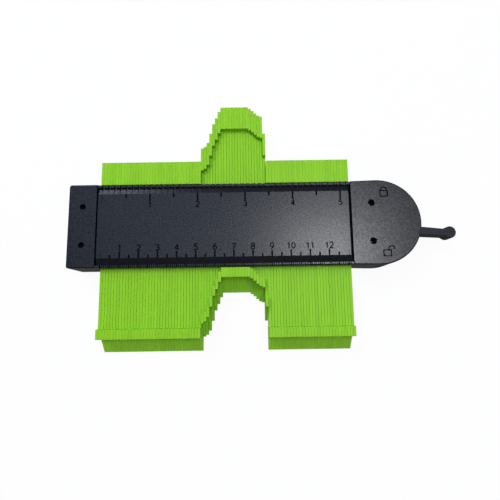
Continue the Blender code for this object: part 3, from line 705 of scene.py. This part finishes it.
def moulded_black(name, settings, gloss):
    """Black plastic with faint clouds in its tone, and a moulded grain that breaks up its gloss.

    The strength of the gloss runs between two values as the grain does. On engraved faces it is
    almost gone.
    """
    material, nodes, links, shader = new_material(name)
    clouds = noise(nodes, links, *BLACK_CLOUDS)
    shaded(nodes, links, settings.body_colour, ranged(nodes, links, clouds, *BLACK_TONES), shader)
    roughened(nodes, links, clouds, settings.roughness, BLACK_ROUGHNESS, shader)
    engraved = attribute(nodes, "engraved")
    remainder = reckoned(nodes, links, "MULTIPLY_ADD", engraved, -ENGRAVED_DULLING, 1.0)
    grain = noise(nodes, links, 1 / settings.grain, GLOSS_DETAIL)
    strength = reckoned(nodes, links, "MULTIPLY", ranged(nodes, links, grain, *gloss), remainder)
    links.new(strength, shader.inputs["Specular IOR Level"])
    height = noise(nodes, links, 1 / settings.grain, BUMP_DETAIL)
    bumped(nodes, links, height, BLACK_GRAIN_DEPTH * settings.grain, shader)
    return material


def green_plastic(settings):
    """Bright green plastic. Each lamella has its own shade, and faint streaks run along it."""
    material, nodes, links, shader = new_material("green_plastic_finish")
    streaks = ranged(nodes, links, noise(nodes, links, *GREEN_STREAKS, STREAK_STRETCH), *GREEN_TONES)
    factor = reckoned(nodes, links, "MULTIPLY", attribute(nodes, "shade"), streaks)
    shaded(nodes, links, settings.body_colour, factor, shader)
    gloss = noise(nodes, links, *GREEN_GLOSS)
    roughened(nodes, links, gloss, settings.roughness, GREEN_ROUGHNESS, shader)
    shader.inputs["Specular IOR Level"].default_value = settings.specular
    bumped(nodes, links, noise(nodes, links, *GREEN_GRAIN), GREEN_GRAIN_DEPTH, shader)
    return material


def plated_steel(settings):
    """Dark plated steel with faint clouds in its tone and its gloss."""
    material, nodes, links, shader = new_material("plated_steel_finish")
    shader.inputs["Metallic"].default_value = 1.0
    clouds = noise(nodes, links, *STEEL_CLOUDS)
    shaded(nodes, links, settings.body_colour, ranged(nodes, links, clouds, *STEEL_TONES), shader)
    roughened(nodes, links, clouds, settings.roughness, STEEL_ROUGHNESS, shader)
    bumped(nodes, links, noise(nodes, links, *STEEL_GRAIN), STEEL_GRAIN_DEPTH, shader)
    return material


class GAUGE_OT_front_cover(bpy.types.Operator):
    """Dress the front cover: softened edges, notches, marks, numbers and padlock pictograms"""

    bl_idname = "gauge.front_cover"
    bl_label = "Front cover"

    def execute(self, context):
        cover = context.scene.gauge_cover
        mesh = softened_copy("front_cover", cover.edge_radius, COVER_STEPS, cover.rim_radius)
        mesh = cut_away(mesh, self.rim_notches(cover) + self.marks(cover) + self.engraving(cover))
        material = moulded_black("black_plastic_finish", cover, COVER_GLOSS)
        show(mesh, "front_cover_shell", "housing", material, ["front_cover"], True)
        return {"FINISHED"}

    def scale_zero(self, cover):
        """Where both scales begin."""
        return PANEL_LEFT + cover.zero_inset

    def rim_notches(self, cover):
        """Boxes that carry the near scale's graduations on through the rim, every fifth one wider."""
        floor = PANEL_LEVEL - cover.notch_depth
        height = FRONT_COVER[1].z - floor
        number = np.arange(cover.millimetres + 1)
        is_wide = number % WIDE_NOTCH_EVERY == 0
        cutters = []
        for name, chosen, width in (
            ("notches", ~is_wide, cover.notch_width),
            ("wide_notches", is_wide, cover.wide_notch_width),
        ):
            x = self.scale_zero(cover) + number[chosen] * MILLIMETRE
            size = (width, NOTCH_REACH * cover.rim_width, height)
            cutters.append(equal_boxes(name, x, -HALF_WIDTH, floor + height / 2, size))
        return cutters

    def marks(self, cover):
        """Boxes that deepen the long and middle marks on the panel, and the grooves at its ends."""
        cutters = []
        for name, side, step, numbers, reach in (
            ("inch_marks", 1, INCH, np.arange(1, INCHES + 1), cover.inch_mark),
            ("half_inch_marks", 1, INCH, np.arange(0.5, INCHES), cover.half_inch_mark),
            ("centimetre_marks", -1, CENTIMETRE, np.arange(1, CENTIMETRES + 1), cover.centimetre_mark),
            ("half_centimetre_marks", -1, CENTIMETRE, np.arange(0.5, CENTIMETRES + 1),
             cover.half_centimetre_mark),
        ):
            x = self.scale_zero(cover) + numbers * step
            size = (cover.mark_width, reach, 2 * cover.engraving_depth)
            cutters.append(equal_boxes(name, x, side * (BAND_INNER_Y - reach / 2), PANEL_LEVEL, size))
        for name, x, width in (
            ("left_groove", PANEL_LEFT + cover.left_groove / 2, cover.left_groove),
            ("right_groove", PANEL_RIGHT - cover.right_groove / 2, cover.right_groove),
        ):
            size = (width, GROOVE_REACH * BAND_OUTER_Y, 2 * cover.groove_depth)
            cutters.append(equal_boxes(name, x, 0, PANEL_LEVEL, size))
        return cutters

    def engraving(self, cover):
        """The numbers under each scale's long marks, the padlocks and the weld lines by the lever."""
        top = FRONT_COVER[1].z
        depth = cover.engraving_depth
        cutters = []
        for unit, count, height, y in (
            (INCH, INCHES, cover.inch_number_height, cover.inch_number_y),
            (CENTIMETRE, CENTIMETRES, cover.centimetre_number_height, cover.centimetre_number_y),
        ):
            for number in range(1, count + 1):
                x = self.scale_zero(cover) + number * unit
                cutters += number_cutters(
                    str(number), height, x, y, cover.figure_stroke, PANEL_LEVEL, depth
                )
        for corner, opened in ((cover.closed_lock, False), (cover.open_lock, True)):
            cutters += padlock_cutters(cover, PIVOT_X + corner[0], corner[1], opened, top)
        for name, start, end in WELD_LINES:
            path = np.linspace(start, end, WELD_POINTS) + (PIVOT_X, 0)
            cutters.append(line_cutter(name, path, cover.weld_width, top, cover.weld_depth))
        return cutters


class GAUGE_OT_rear_cover(bpy.types.Operator):
    """Dress the plain rear cover"""

    bl_idname = "gauge.rear_cover"
    bl_label = "Rear cover"

    def execute(self, context):
        cover = context.scene.gauge_cover
        mesh = softened_copy("rear_cover", cover.edge_radius, COVER_STEPS)
        material = bpy.data.materials["black_plastic_finish"]
        show(mesh, "rear_cover_shell", "housing", material, ["rear_cover"], True)
        return {"FINISHED"}


class GAUGE_OT_lamellae(bpy.types.Operator):
    """Make every lamella at its own place in the stack"""

    bl_idname = "gauge.lamellae"
    bl_label = "Lamellae"

    def execute(self, context):
        sizes = context.scene.gauge_lamella
        boxes = {name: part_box(name) for name in LAMELLA_NODES}
        widths = [high.x - low.x for low, high in boxes.values()]
        thickness = min(widths)
        pitch = max(widths) - thickness
        finished = pitch - sizes.gap
        low, high = next(iter(boxes.values()))
        outline = self.outline(sizes, (high.y - low.y) / 2, (high.z - low.z) / 2)
        points, faces = rounded_slab(outline, finished / 2, sizes.edge_radius, LAMELLA_STEPS)
        points = points[:, [2, 0, 1]]
        material = green_plastic(sizes)
        random = np.random.default_rng(SHADE_SEED)
        for node in LAMELLA_NODES:
            low, high = boxes[node]
            for place_in_node, number in enumerate(node.split("_")[1:]):
                x = low.x + thickness / 2 + place_in_node * pitch
                centre = (x, (low.y + high.y) / 2, (low.z + high.z) / 2)
                mesh = make_mesh("lamella_plate_" + number, points + centre, faces)
                shade = 1 + sizes.shade_spread * (random.random() - 0.5)
                values = np.full(len(points), shade, np.float32)
                mesh.attributes.new("shade", "FLOAT", "POINT").data.foreach_set("value", values)
                show(mesh, "lamella_plate_" + number, node, material, [node])
        return {"FINISHED"}

    def outline(self, sizes, half_length, half_height):
        """Anticlockwise points (y, z) of the far head, then of the same turned half round."""
        shank = sizes.shank_height / 2
        flange_out = half_length - sizes.nose_length
        flange_face = flange_out - sizes.flange_length
        far = np.array([
            (flange_face, -shank),
            (flange_face, -half_height),
            (flange_out, -half_height),
            (flange_out, half_height - sizes.nose_root_height),
            (half_length, half_height - sizes.nose_tip_height),
            (half_length, half_height),
            (flange_face, half_height),
            (flange_face, shank),
        ])
        return softened(np.concatenate((far, -far)), sizes.corner)


class GAUGE_OT_lever(bpy.types.Operator):
    """Dress the cam lever and the pressure plate"""

    bl_idname = "gauge.lever"
    bl_label = "Lever and pressure plate"

    def execute(self, context):
        lever = context.scene.gauge_lever
        material = moulded_black("lever_plastic_finish", lever, LEVER_GLOSS)
        for node, name in (("lock_lever", "cam_lever"), ("pressure_plate", "press_plate")):
            mesh = softened_copy(node, lever.edge_radius, LEVER_STEPS)
            show(mesh, name, node, material, [node])
        return {"FINISHED"}


class GAUGE_OT_steel(bpy.types.Operator):
    """Make the four cover screws and the pivot pin"""

    bl_idname = "gauge.steel"
    bl_label = "Screws and pin"

    def execute(self, context):
        steel = context.scene.gauge_steel
        material = plated_steel(steel)
        for node in SCREW_NODES:
            self.stand(node, "cross_" + node, self.screw, steel, material)
        self.stand("pivot_pin", "hinge_pin", self.pin, steel, material)
        return {"FINISHED"}

    def stand(self, node, name, make, steel, material):
        """Make a turned piece as high and wide as its solid, and stand it there."""
        low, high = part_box(node)
        mesh = make(steel, high.z - low.z, (high.x - low.x) / 2)
        mesh.transform(Matrix.Translation(((low.x + high.x) / 2, (low.y + high.y) / 2, low.z)))
        show(mesh, name, "housing", material, [node])

    def screw(self, steel, height, head_radius):
        """A screw with its head's face at z 0.

        The head's rim is a quarter round. On the shank the radius is the crest's less the depth of the
        thread times a triangle wave of z / pitch - angle / turn, and at the tip it tapers evenly.
        """
        turn = np.linspace(0, pi / 2, HEAD_RINGS)
        head_z = steel.head_round * (1 - np.cos(turn))
        head_r = np.append(head_radius - steel.head_round * (1 - np.sin(turn)), head_radius)
        shank_z = np.linspace(steel.head_height, height, int(RINGS_PER_TURN * height / steel.thread_pitch))
        angle = np.linspace(0, 1, SCREW_SEGMENTS, endpoint=False)
        wave = np.abs(((shank_z[:, None] / steel.thread_pitch - angle) % 1) * 2 - 1)
        taper = np.clip((height - shank_z) / steel.tip_length, TIP_WIDTH, 1)[:, None]
        shank_r = (steel.shank_radius - steel.thread_depth * (1 - wave)) * taper
        heights = np.concatenate((head_z, [steel.head_height], shank_z))
        head = np.broadcast_to(head_r[:, None], (len(head_r), SCREW_SEGMENTS))
        points, faces = turned_rings(np.concatenate((head, shank_r)), heights, SCREW_SEGMENTS)
        return cut_away(make_mesh("screw", points, faces), self.cross(steel))

    def cross(self, steel):
        """Two upright slabs that cross, narrower at their foot, to cut the recess of the head."""
        span = steel.recess_span / 2
        width = steel.recess_width / 2
        slabs = []
        for name, half_x, half_y in (("arm_x", span, width), ("arm_y", width, span)):
            corners = SQUARE * (half_x, half_y)
            top = np.column_stack((corners, np.full(len(corners), -steel.recess_depth)))
            foot = np.column_stack((corners * RECESS_TAPER, np.full(len(corners), steel.recess_depth)))
            slabs.append(make_mesh(name, np.concatenate((top, foot)), stacked_faces(2, len(corners))))
        return slabs

    def pin(self, steel, height, radius):
        """A turned pin with a chamfer at each end."""
        cut = steel.pin_chamfer
        return make_mesh("pin", *turned_rings(
            [radius - cut, radius, radius, radius - cut], [0, cut, height - cut, height], PIN_SEGMENTS
        ))


class GAUGE_OT_stage(bpy.types.Operator):
    """Set the camera, the pale floor, the soft lamps and the even light from all round"""

    bl_idname = "gauge.stage"
    bl_label = "Stage"

    def execute(self, context):
        stage = context.scene.gauge_stage
        context.scene.view_settings.view_transform = "Standard"
        self.camera(context, stage)
        self.floor(stage)
        self.sky(context, stage)
        key = self.lamp("key_lamp", stage.key_place, stage.key_power, stage.key_size)
        key.visible_glossy = False
        top = self.lamp("top_lamp", stage.top_place, stage.top_power, stage.top_size)
        top.data.color = stage.top_colour
        self.lamp("sheen_lamp", stage.sheen_place, stage.sheen_power, stage.sheen_size)
        edge = self.lamp("edge_lamp", stage.edge_place, stage.edge_power, stage.edge_size)
        edge.data.color = stage.edge_colour
        return {"FINISHED"}

    def camera(self, context, stage):
        """The camera over the middle of the gauge, leaning towards the near side."""
        data = bpy.data.cameras.new("camera")
        data.lens = stage.lens
        data.clip_start = CLIP_START
        camera = placed("camera", data)
        camera.location = stage.camera_place
        camera.rotation_euler = stage.camera_turn
        context.scene.camera = camera

    def floor(self, stage):
        """A square floor just under the rear face, which fades to white where the camera looks at it.

        Where it is mirrored it fades to a grey instead.
        """
        side = np.linspace(-0.5, 0.5, FLOOR_POINTS) * stage.floor_size
        x, y = np.meshgrid(side, side)
        points = np.stack((x, y, np.full_like(x, FLOOR_LEVEL)), axis=-1).reshape(-1, 3)
        step = np.arange(FLOOR_POINTS - 1)
        here = step[:, None] * FLOOR_POINTS + step
        beside = here + FLOOR_POINTS
        quads = np.stack((here, here + 1, beside + 1, beside), axis=-1).reshape(-1, 4)
        mesh = make_mesh("floor", points, [quads])
        material, nodes, links, shader = new_material("floor_paper")
        shader.inputs["Roughness"].default_value = FLOOR_ROUGHNESS
        shader.inputs["Specular IOR Level"].default_value = FLOOR_SPECULAR
        clouds = noise(nodes, links, *FLOOR_CLOUDS)
        shaded(nodes, links, stage.floor_colour, ranged(nodes, links, clouds, *FLOOR_TONES), shader)
        rays = nodes.new("ShaderNodeLightPath").outputs
        mirrored = rays["Is Glossy Ray"]
        seen = reckoned(nodes, links, "MAXIMUM", rays["Is Camera Ray"], rays["Is Transmission Ray"])
        seen = reckoned(nodes, links, "MAXIMUM", seen, mirrored)
        glow = nodes.new("ShaderNodeEmission")
        strength = ranged(nodes, links, mirrored, 1.0, stage.floor_gloss, WHOLE_SPAN)
        links.new(strength, glow.inputs["Strength"])
        mix = nodes.new("ShaderNodeMixShader")
        links.new(reckoned(nodes, links, "MULTIPLY", seen, stage.floor_glow), mix.inputs["Fac"])
        links.new(shader.outputs["BSDF"], mix.inputs[1])
        links.new(glow.outputs["Emission"], mix.inputs[2])
        links.new(mix.outputs["Shader"], nodes["Material Output"].inputs["Surface"])
        mesh.materials.append(material)
        floor = placed("floor", mesh)

    def sky(self, context, stage):
        """Even light from all round, seen as white, and mirrored as white walls under a dim ceiling.

        The strength that is mirrored runs from 1 to the ceiling's as the height of the direction, the
        z of a unit vector, runs over the wall's fade.
        """
        world = bpy.data.worlds.new("studio")
        context.scene.world = world
        world.use_nodes = True
        nodes = world.node_tree.nodes
        links = world.node_tree.links
        direction = nodes.new("ShaderNodeTexCoord")
        height = nodes.new("ShaderNodeSeparateXYZ")
        links.new(direction.outputs["Generated"], height.inputs["Vector"])
        room = ranged(nodes, links, height.outputs["Z"], 1.0, stage.ceiling, WALL_FADE)
        rays = nodes.new("ShaderNodeLightPath").outputs
        mirrored = reckoned(nodes, links, "MAXIMUM", rays["Is Glossy Ray"], rays["Is Transmission Ray"])
        strength = ranged(nodes, links, mirrored, stage.sky_light, room, WHOLE_SPAN)
        strength = ranged(nodes, links, rays["Is Camera Ray"], strength, 1.0, WHOLE_SPAN)
        background = nodes["Background"]
        background.inputs["Color"].default_value = (1, 1, 1, 1)
        links.new(strength, background.inputs["Strength"])

    def lamp(self, name, where, watts, side):
        """A square area lamp that looks at the middle of the gauge."""
        data = bpy.data.lights.new(name, "AREA")
        data.energy = watts
        data.size = side
        lamp = placed(name, data)
        lamp.location = where
        lamp.rotation_euler = (-Vector(where)).to_track_quat("-Z", "Y").to_euler()
        return lamp


class GAUGE_PT_panel(bpy.types.Panel):
    """The gauge's operators and settings"""

    bl_idname = "GAUGE_PT_panel"
    bl_label = "Contour Gauge"
    bl_space_type = "VIEW_3D"
    bl_region_type = "UI"
    bl_category = "Gauge"

    def draw(self, context):
        for operator in OPERATORS:
            self.layout.operator(operator.bl_idname)
        for name, group in SETTINGS.items():
            box = self.layout.box()
            box.label(text=group.__doc__)
            settings = getattr(context.scene, name)
            for key in group.__annotations__:
                box.prop(settings, key)


SETTINGS = {
    "gauge_cover": CoverSettings,
    "gauge_lamella": LamellaSettings,
    "gauge_lever": LeverSettings,
    "gauge_steel": SteelSettings,
    "gauge_stage": StageSettings,
}
OPERATORS = (
    GAUGE_OT_front_cover,
    GAUGE_OT_rear_cover,
    GAUGE_OT_lamellae,
    GAUGE_OT_lever,
    GAUGE_OT_steel,
    GAUGE_OT_stage,
)


def register():
    """Make the settings, the operators and the panel known to Blender."""
    for group in SETTINGS.values():
        bpy.utils.register_class(group)
    for operator in OPERATORS:
        bpy.utils.register_class(operator)
    bpy.utils.register_class(GAUGE_PT_panel)
    for name, group in SETTINGS.items():
        setattr(bpy.types.Scene, name, bpy.props.PointerProperty(type=group))


def unregister():
    """Take them away again."""
    for name in SETTINGS:
        delattr(bpy.types.Scene, name)
    bpy.utils.unregister_class(GAUGE_PT_panel)
    for operator in reversed(OPERATORS):
        bpy.utils.unregister_class(operator)
    for group in reversed(SETTINGS.values()):
        bpy.utils.unregister_class(group)


def main():
    """Dress the whole gauge and set the stage."""
    register()
    bpy.ops.gauge.front_cover()
    bpy.ops.gauge.rear_cover()
    bpy.ops.gauge.lamellae()
    bpy.ops.gauge.lever()
    bpy.ops.gauge.steel()
    bpy.ops.gauge.stage()


if __name__ == "__main__":
    main()
